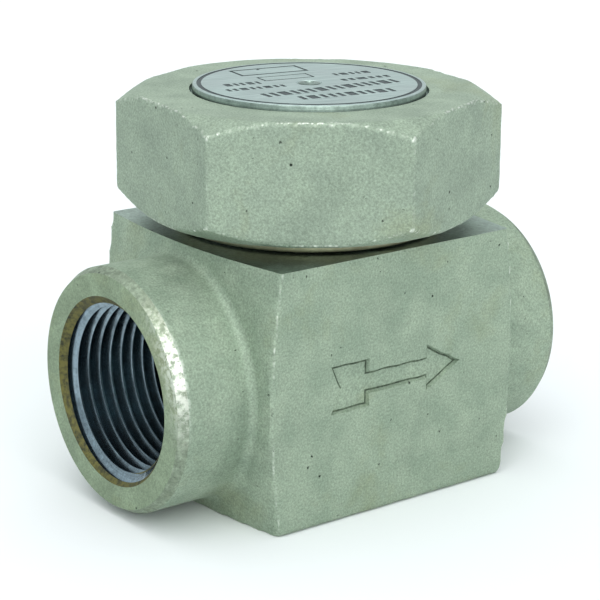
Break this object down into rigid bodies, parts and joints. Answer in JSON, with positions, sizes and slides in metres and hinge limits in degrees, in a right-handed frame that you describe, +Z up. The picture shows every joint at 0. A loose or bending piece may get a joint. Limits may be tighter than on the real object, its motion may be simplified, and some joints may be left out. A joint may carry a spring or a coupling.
{
  "type": "disc steam trap",
  "caption": "Compact in-line disc trap and check valve: square cast body with threaded hubs, a seat and free disc inside, and a hexagonal screw cap.",
  "frame": {"origin": "on the plane under the body, below the middle of the body's block", "axes": "+X along the flow from the inlet hub to the outlet hub, +Z up along the cap's screw axis, the flow arrow is on the -Y face"},
  "size_m": [0.069, 0.0552, 0.0582],
  "materials": {
    "body_casting": "shot-blasted stainless casting, pale grey-green, fine grained",
    "cap_casting": "shot-blasted stainless forging with worn edges",
    "seat_steel": "hardened stainless steel, ground and lapped",
    "gasket": "soft iron, dull",
    "plate": "brushed stainless sheet with a printed rim",
    "rivet": "plain steel"
  },
  "bodies": {
    "trap_body": {"body": "body_casting", "seat_insert": "seat_steel", "seat_inner_gasket": "gasket", "seat_outer_gasket": "gasket"},
    "disc": {"valve_disc": "seat_steel"},
    "gasket_ring": {"cap_gasket": "gasket"},
    "screw_cap": {"cap": "cap_casting", "nameplate": "plate", "nameplate_rivet": "rivet"}
  },
  "joints": [
    {"name": "disc_lift", "type": "slide", "parent": "trap_body", "child": "disc", "axis": [0, 0, 1], "range_m": [0, 0.0017]},
    {"name": "cap_rise", "type": "slide", "parent": "trap_body", "child": "gasket_ring", "axis": [0, 0, 1], "range_m": [0, 0.009]},
    {"name": "cap_turn", "type": "hinge", "parent": "gasket_ring", "child": "screw_cap", "pos_m": [0, 0, 0.04], "axis": [0, 0, 1], "range_deg": [0, 1619]}
  ],
  "couplings": [
    {"joint": "cap_rise", "follows": "cap_turn", "m_per_rad": 0.00031831}
  ]
}
